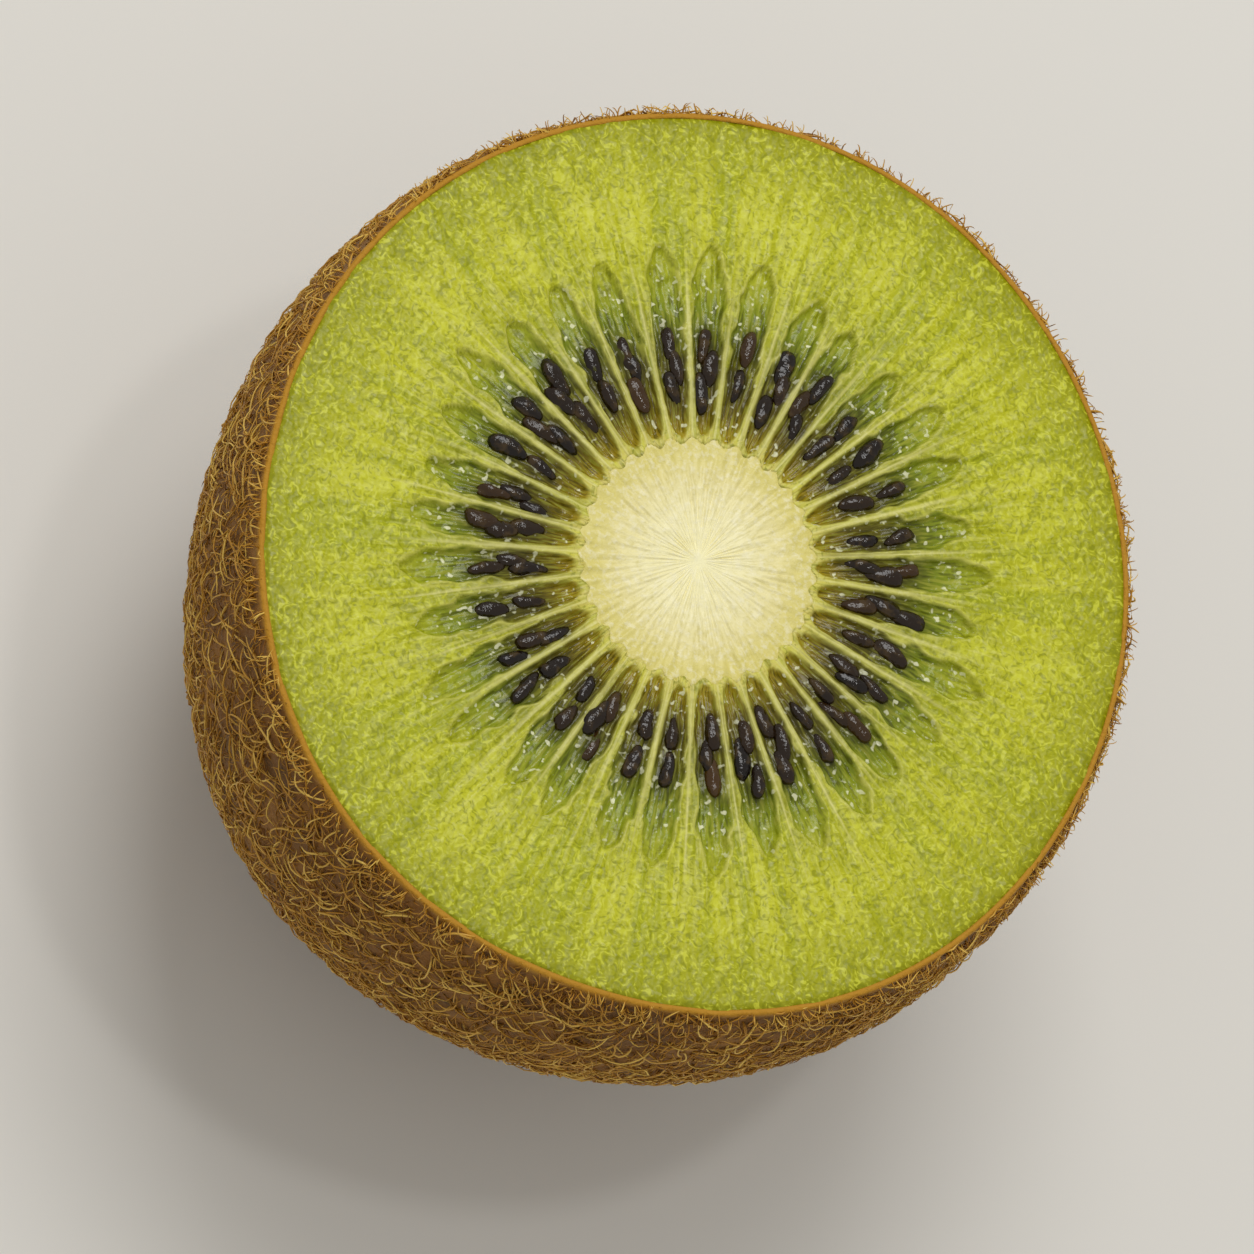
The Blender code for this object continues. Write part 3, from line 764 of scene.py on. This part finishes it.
def add_hair_piece(name, material, seed, count, samples, lengths, lifts, bend, width, paler, down_to=1.0):
    """Hairs as tapered three-sided tubes along hair_paths: three points round each sample and one tip."""
    draw = np.random.default_rng(seed)
    path, reference = hair_paths(skin_profile(), draw, count, samples, lengths, lifts, bend, down_to)
    forward = np.gradient(path, axis=1)
    forward /= np.linalg.norm(forward, axis=-1, keepdims=True)
    side = np.cross(forward, reference)
    side /= np.maximum(1e-9, np.linalg.norm(side, axis=-1, keepdims=True))
    up = np.cross(forward, side)
    turn = np.arange(3) * math.tau / 3
    thick = width / 2 * draw.uniform(0.7, 1.25, (count, 1)) * (1.0 - 0.6 * np.linspace(0.0, 1.0, samples))
    ring = side[:, :-1, None] * np.cos(turn)[:, None] + up[:, :-1, None] * np.sin(turn)[:, None]
    rings = path[:, :-1, None] + ring * thick[:, :-1, None, None]
    points = np.concatenate([rings.reshape(count, -1, 3), path[:, -1:]], axis=1)

    first = np.arange(3)
    beside = (first + 1) % 3
    level = (np.arange(samples - 2) * 3)[:, None]
    quads = np.stack([level + first, level + beside, level + 3 + beside, level + 3 + first],
                     axis=-1).reshape(-1, 4)
    last = (samples - 2) * 3
    ends = np.concatenate([np.stack([last + first, last + beside, np.full(3, last + 3)], axis=-1),
                           [[0, 2, 1]]])
    offsets = (np.arange(count) * points.shape[1])[:, None, None]
    faces = [(face[None] + offsets).reshape(-1, face.shape[1]) for face in (quads, ends)]
    tint = np.repeat(np.clip(draw.beta(2.0, 2.2, count) + paler, 0.0, 1.0), points.shape[1])[:, None]
    new_piece(name, points, faces, material, {"tint": tint})


def add_fuzz():
    """Short fuzz all over the skin, longer curly hairs lying over it, and stiff hairs out of the rim.

    Real hairs are 0.03 mm thick or less. These are two to four times that, so that they show.
    """
    sizes = bpy.context.scene.kiwi_sizes
    material = hair_material()
    for index in range(2):
        add_hair_piece(f"kiwi_fuzz_{index}", material, 21 + index, sizes.fuzz_count, 4,
                       (0.6 * MM, sizes.fuzz_length), (0.2 * MM, HAIR_LIMIT * 0.8), 0.8, FUZZ_WIDTH, -0.2)
        add_hair_piece(f"kiwi_curls_{index}", material, 31 + index, sizes.curl_count, 8,
                       (1.6 * MM, sizes.curl_length), (0.3 * MM, HAIR_LIMIT), 1.9, CURL_WIDTH, 0.15)
    add_hair_piece("kiwi_rim_hairs", material, 41, sizes.rim_count, 5,
                   (0.1 * MM, 0.7 * MM), (0.4 * MM, 0.8 * MM), 1.0, RIM_HAIR_WIDTH, 0.1, down_to=1.2 * MM)


def add_calyx():
    """Five wrinkled sepals, flattened ovals, round a puckered scar, all inside the dimple."""
    sides, rings = 40, 13
    form = oval(rings, sides) * SEPAL_SIZE
    roof = DIMPLE_DEPTH * math.sqrt(1.0 - (SEPAL_REACH / DIMPLE_RADIUS) ** 2)
    slope = math.atan2(DIMPLE_DEPTH**2 * SEPAL_REACH, DIMPLE_RADIUS**2 * roof)
    place = Matrix.Translation((SEPAL_REACH, 0.0, roof)) @ Matrix.Rotation(slope, 4, "Y")
    parts, faces = [], []
    sepal_faces = turned_faces(rings, sides)
    for index in range(SEPALS):
        matrix = np.array(Matrix.Rotation(index * math.tau / SEPALS, 4, "Z") @ place)
        crumpled = form * (1.0 + 0.09 * wave_noise(form + index * 5.0 * MM, 1.0 * MM, 41))[:, None]
        parts.append(crumpled @ matrix[:3, :3].T + matrix[:3, 3])
        faces += [face + index * len(form) for face in sepal_faces]

    scar_rings = 10
    around = np.arange(sides) * math.tau / sides
    out = np.linspace(0.0, 1.0, scar_rings)[:, None]
    pucker = 1.0 + 0.1 * np.cos(7 * around) + 0.06 * np.cos(12 * around + 1.0)
    scar_radius = SCAR_RADIUS * np.sin(np.pi * np.clip(0.16 + 0.76 * out, 0.0, 1.0)) * pucker
    scar_height = SCAR_CLEAR + DIMPLE_DEPTH * 0.9 * (1.0 - out) + 0.0 * around
    scar = np.stack([scar_radius * np.cos(around), scar_radius * np.sin(around), scar_height], axis=-1)[::-1]
    parts.append(with_poles(scar, (0.0, 0.0, SCAR_CLEAR + 0.15 * MM), (0.0, 0.0, SCAR_CLEAR + DIMPLE_DEPTH)))
    faces += [face + SEPALS * len(form) for face in turned_faces(scar_rings, sides)]
    points = np.concatenate(parts)
    points[:, 2] = np.maximum(0.05 * MM, points[:, 2])
    new_piece("kiwi_calyx", points, faces, calyx_material())


def add_stage():
    """A pale floor, soft lights and the camera, all placed from the camera's own directions."""
    scene = bpy.context.scene
    scene.view_settings.view_transform = "Standard"
    half = 2.0
    mesh = bpy.data.meshes.new("floor")
    mesh.from_pydata([(-half, -half, 0), (half, -half, 0), (half, half, 0), (-half, half, 0)], [],
                     [(0, 1, 2, 3)])
    floor = bpy.data.objects.new("floor", mesh)
    material, tree = new_material("matt_white_card")
    shader = add_node(tree, "ShaderNodeBsdfDiffuse", {"Color": linear("#e6e3dc")})
    add_node(tree, "ShaderNodeOutputMaterial", {"Surface": shader.outputs["BSDF"]})
    mesh.materials.append(material)
    scene.collection.objects.link(floor)

    turn, rise = math.radians(VIEW_AZIMUTH), math.radians(VIEW_ELEVATION)
    back = Vector((math.sin(turn) * math.cos(rise), -math.cos(turn) * math.cos(rise), math.sin(rise)))
    aim = Vector((0.0, 0.0, VIEW_AIM))
    looking = (-back).to_track_quat("-Z", "Y").to_matrix() @ Matrix.Rotation(math.radians(VIEW_ROLL), 3, "Z")
    camera_data = bpy.data.cameras.new("camera")
    camera_data.lens = VIEW_LENS
    camera_data.clip_start = 0.01
    camera = bpy.data.objects.new("camera", camera_data)
    camera.matrix_world = Matrix.Translation(aim + back * VIEW_DISTANCE) @ looking.to_4x4()
    scene.collection.objects.link(camera)
    scene.camera = camera

    # Each light's place is (right, up, towards the camera) as seen in the picture, in metres
    for name, place, size, energy in (("key", (0.16, 0.42, 0.40), 0.30, 1.5),
                                      ("glint", (0.28, 0.20, 0.60), 0.05, 0.35)):
        light = bpy.data.lights.new(name, "AREA")
        light.size = size
        light.energy = energy
        lamp = bpy.data.objects.new(name, light)
        spot = looking @ Vector(place)
        lamp.matrix_world = (Matrix.Translation(aim + spot)
                             @ spot.to_track_quat("Z", "Y").to_matrix().to_4x4())
        scene.collection.objects.link(lamp)

    world = scene.world or bpy.data.worlds.new("studio")
    scene.world = world
    world.use_nodes = True
    background = world.node_tree.nodes["Background"]
    background.inputs["Color"].default_value = linear("#fbfaf7")
    background.inputs["Strength"].default_value = 0.5


# The add-on


class KiwiSizes(bpy.types.PropertyGroup):
    face_width: FloatProperty(name="Face width", description="Cut face along X", default=49.2 * MM,
                              unit="LENGTH")
    face_length: FloatProperty(name="Face length", description="Cut face along Y", default=52.0 * MM,
                               unit="LENGTH")
    chamber_depth: FloatProperty(name="Chamber depth", description="How far the gel lies below the cut",
                                 default=LOCULE_DEPTH, unit="LENGTH")
    fuzz_count: IntProperty(name="Fuzz", description="Short hairs in each of the two layers", default=9000)
    fuzz_length: FloatProperty(name="Fuzz length", description="Longest short hair", default=1.3 * MM,
                               unit="LENGTH")
    curl_count: IntProperty(name="Curls", description="Curly hairs in each of the two layers", default=4000)
    curl_length: FloatProperty(name="Curl length", description="Longest curly hair", default=3.8 * MM,
                               unit="LENGTH")
    rim_count: IntProperty(name="Rim hairs", description="Stiff hairs round the cut edge", default=900)


class KiwiLooks(bpy.types.PropertyGroup):
    flesh_roughness: FloatProperty(name="Flesh roughness", description="Gloss of the cut pulp", default=0.36,
                                   subtype="FACTOR")
    gel_roughness: FloatProperty(name="Gel roughness", description="Gloss of the seed chambers' gel",
                                 default=0.2, subtype="FACTOR")
    core_colour: FloatVectorProperty(name="Core", description="Middle of the core", size=4,
                                     default=linear("#fdf6c4"), subtype="COLOR")
    seed_colour: FloatVectorProperty(name="Seed", description="Darkest seeds", size=4,
                                     default=linear("#120b07"), subtype="COLOR")
    skin_colour: FloatVectorProperty(name="Skin", description="Skin under the hair", size=4,
                                     default=linear("#7b4d0b"), subtype="COLOR")
    hair_colour: FloatVectorProperty(name="Hair", description="Most of the hair", size=4,
                                     default=linear("#c48d22"), subtype="COLOR")


class KIWI_OT_flesh(bpy.types.Operator):
    """Add the cut flesh with its seed chambers"""
    bl_idname = "kiwi.add_flesh"
    bl_label = "Flesh"

    def execute(self, context):
        add_flesh()
        return {"FINISHED"}


class KIWI_OT_core(bpy.types.Operator):
    """Add the cream core"""
    bl_idname = "kiwi.add_core"
    bl_label = "Core"

    def execute(self, context):
        add_core()
        return {"FINISHED"}


class KIWI_OT_seeds(bpy.types.Operator):
    """Add the seeds in their chambers"""
    bl_idname = "kiwi.add_seeds"
    bl_label = "Seeds"

    def execute(self, context):
        add_seeds()
        return {"FINISHED"}


class KIWI_OT_skin(bpy.types.Operator):
    """Add the brown skin"""
    bl_idname = "kiwi.add_skin"
    bl_label = "Skin"

    def execute(self, context):
        add_skin()
        return {"FINISHED"}


class KIWI_OT_fuzz(bpy.types.Operator):
    """Add the short fuzz, the curly hairs and the stiff hairs round the rim"""
    bl_idname = "kiwi.add_fuzz"
    bl_label = "Fuzz"

    def execute(self, context):
        add_fuzz()
        return {"FINISHED"}


class KIWI_OT_calyx(bpy.types.Operator):
    """Add the dried calyx in the round end"""
    bl_idname = "kiwi.add_calyx"
    bl_label = "Calyx"

    def execute(self, context):
        add_calyx()
        return {"FINISHED"}


class KIWI_OT_stage(bpy.types.Operator):
    """Add the floor, the lights and the camera"""
    bl_idname = "kiwi.add_stage"
    bl_label = "Stage"

    def execute(self, context):
        add_stage()
        return {"FINISHED"}


class KIWI_PT_panel(bpy.types.Panel):
    bl_label = "Kiwi Fruit Half"
    bl_space_type = "VIEW_3D"
    bl_region_type = "UI"
    bl_category = "Kiwi"

    def draw(self, context):
        for group in (context.scene.kiwi_sizes, context.scene.kiwi_looks):
            for name in group.bl_rna.properties.keys():
                if name not in ("rna_type", "name"):
                    self.layout.prop(group, name)
        for operator in OPERATORS:
            self.layout.operator(operator.bl_idname)


OPERATORS = (KIWI_OT_flesh, KIWI_OT_core, KIWI_OT_seeds, KIWI_OT_skin, KIWI_OT_fuzz, KIWI_OT_calyx,
             KIWI_OT_stage)
CLASSES = (KiwiSizes, KiwiLooks, *OPERATORS, KIWI_PT_panel)


def register():
    for cls in CLASSES:
        bpy.utils.register_class(cls)
    bpy.types.Scene.kiwi_sizes = PointerProperty(type=KiwiSizes)
    bpy.types.Scene.kiwi_looks = PointerProperty(type=KiwiLooks)


def unregister():
    del bpy.types.Scene.kiwi_looks
    del bpy.types.Scene.kiwi_sizes
    for cls in reversed(CLASSES):
        bpy.utils.unregister_class(cls)


def main():
    """Registers the add-on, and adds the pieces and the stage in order."""
    register()
    bpy.ops.kiwi.add_flesh()
    bpy.ops.kiwi.add_core()
    bpy.ops.kiwi.add_seeds()
    bpy.ops.kiwi.add_skin()
    bpy.ops.kiwi.add_fuzz()
    bpy.ops.kiwi.add_calyx()
    bpy.ops.kiwi.add_stage()


if __name__ == "__main__":
    main()
